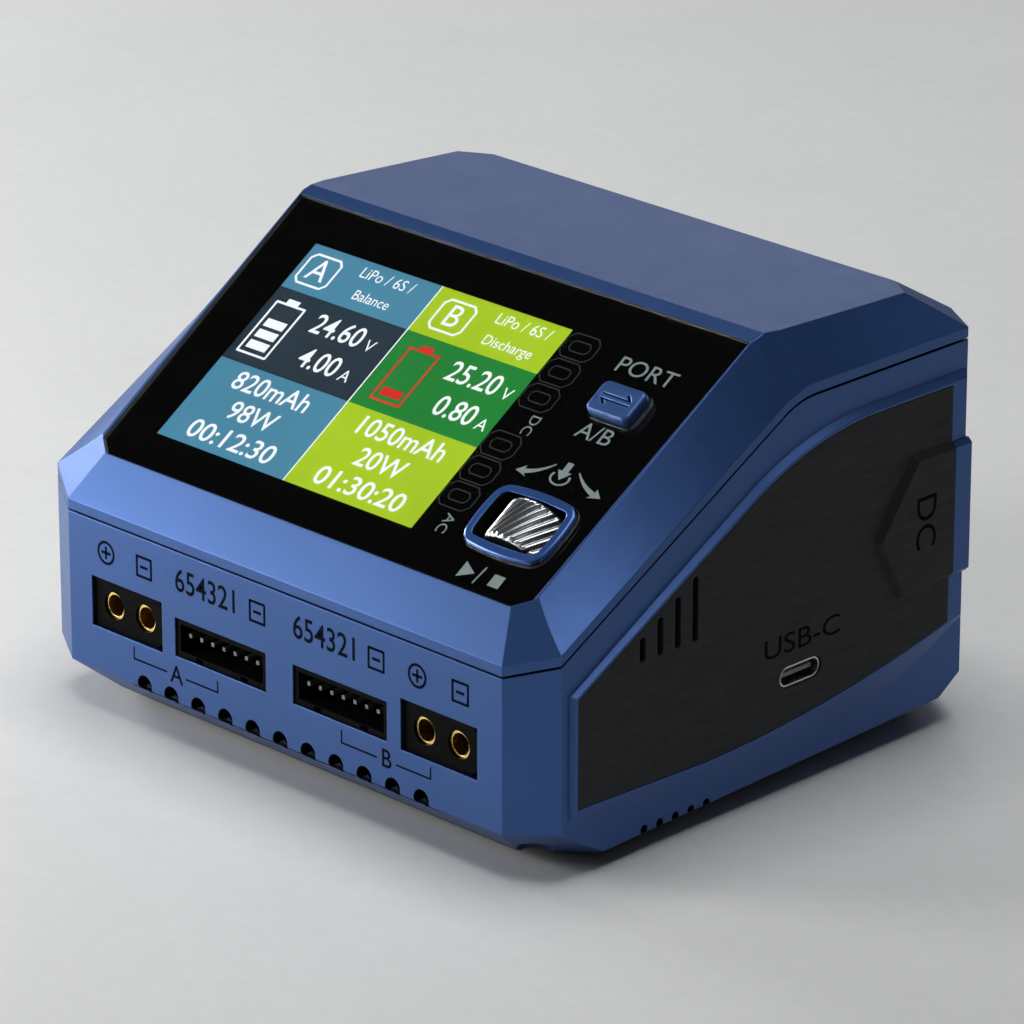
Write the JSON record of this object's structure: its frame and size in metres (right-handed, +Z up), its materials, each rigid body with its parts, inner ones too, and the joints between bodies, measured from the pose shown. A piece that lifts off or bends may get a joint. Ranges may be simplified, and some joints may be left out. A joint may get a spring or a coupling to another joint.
{
  "type": "balance battery charger",
  "caption": "Desktop balance charger: faceted case, sloped colour display, push button, scroll roller, high-current outputs, balance ports, USB socket and cooling fan.",
  "frame": {"origin": "on the desk plane, under the centre of the bounding box", "axes": "+Z up; the face with the output sockets looks along -Y; +X to the right of a viewer facing it"},
  "size_m": [0.1144, 0.097, 0.072],
  "materials": {
    "case_blue": "satin metallic steel blue",
    "panel_grey": "fine matte near-black grey",
    "rear_grey": "fine matte dark grey",
    "window": "smoked, gloss, hard coated",
    "display": "backlit colour display",
    "key_blue": "satin metallic steel blue",
    "bezel_blue": "semi-gloss blue",
    "roller_silver": "brushed ridged",
    "black_nylon": "moulded black",
    "socket_amber": "moulded black nylon",
    "header_ivory": "moulded dark nylon",
    "gold": "gold plated",
    "tin": "tin plated",
    "steel": "brushed",
    "black_steel": "black oxide",
    "board_green": "solder mask",
    "board_blue": "solder mask",
    "fin_alloy": "plain",
    "ferrite": "ground ferrite",
    "winding": "yellow insulating tape",
    "sleeve": "dark shrink sleeve",
    "package": "moulded epoxy",
    "ribbon": "amber film",
    "lead_black": "insulated lead",
    "foot_rubber": "matte rubber",
    "clear_fuse": "clear cover"
  },
  "bodies": {
    "case": {"lower_shell": "case_blue", "top_cover": "case_blue", "side_panel_left": "panel_grey", "side_panel_right": "panel_grey", "rear_panel": "rear_grey", "display_glass": "window", "lcd_module": "display", "display_ribbon": "ribbon", "port_switch": "black_nylon", "roller_bezel": "bezel_blue", "roller_switch": "black_nylon", "ui_board": "board_blue", "output_socket_a": "socket_amber", "output_socket_b": "socket_amber", "socket_contacts_a": "gold", "socket_contacts_b": "gold", "balance_header_a": "header_ivory", "balance_header_b": "header_ivory", "balance_pins_a": "tin", "balance_pins_b": "tin", "usb_c_shell": "steel", "usb_c_tongue": "black_nylon", "usb_board": "board_green", "usb_header": "black_nylon", "dc_inlet": "black_nylon", "dc_pins": "gold", "dc_leads": "lead_black", "ac_inlet": "black_nylon", "ac_pins": "tin", "ac_leads": "lead_black", "fan_frame": "black_nylon", "main_board": "board_green", "heatsink_a": "fin_alloy", "heatsink_b": "fin_alloy", "mosfets": "package", "inductor_a": "ferrite", "inductor_b": "ferrite", "output_capacitors": "sleeve", "control_chips": "package", "buzzer": "package", "psu_board": "board_green", "board_spacers": "steel", "bulk_capacitor": "sleeve", "transformer_core": "ferrite", "transformer_winding": "winding", "choke": "ferrite", "primary_heatsink": "fin_alloy", "fuse_holder": "clear_fuse", "psu_capacitors": "sleeve", "case_screws": "black_steel", "board_screws": "steel", "ui_screws": "steel", "fan_screws": "black_steel", "feet": "foot_rubber"},
    "port_button": {"port_button": "key_blue"},
    "roller_press": {"roller_carrier": "black_nylon", "roller_encoder": "package"},
    "roller": {"scroll_roller": "roller_silver"},
    "fan": {"fan_rotor": "black_nylon"}
  },
  "joints": [
    {"name": "port_button_press", "type": "slide", "parent": "case", "child": "port_button", "axis": [0, 0.5505, -0.8348], "range_m": [0, 0.0005], "stiffness_N_per_m": 2000},
    {"name": "roller_click", "type": "slide", "parent": "case", "child": "roller_press", "axis": [0, 0.5505, -0.8348], "range_m": [0, 0.0005], "stiffness_N_per_m": 2500},
    {"name": "roller_spin", "type": "hinge", "parent": "roller_press", "child": "roller", "pos_m": [0.0353, -0.03018, 0.04457], "axis": [0, 0.8348, 0.5505], "continuous": true},
    {"name": "fan_spin", "type": "hinge", "parent": "case", "child": "fan", "pos_m": [0, 0.041, 0.036], "axis": [0, 1, 0], "continuous": true}
  ]
}
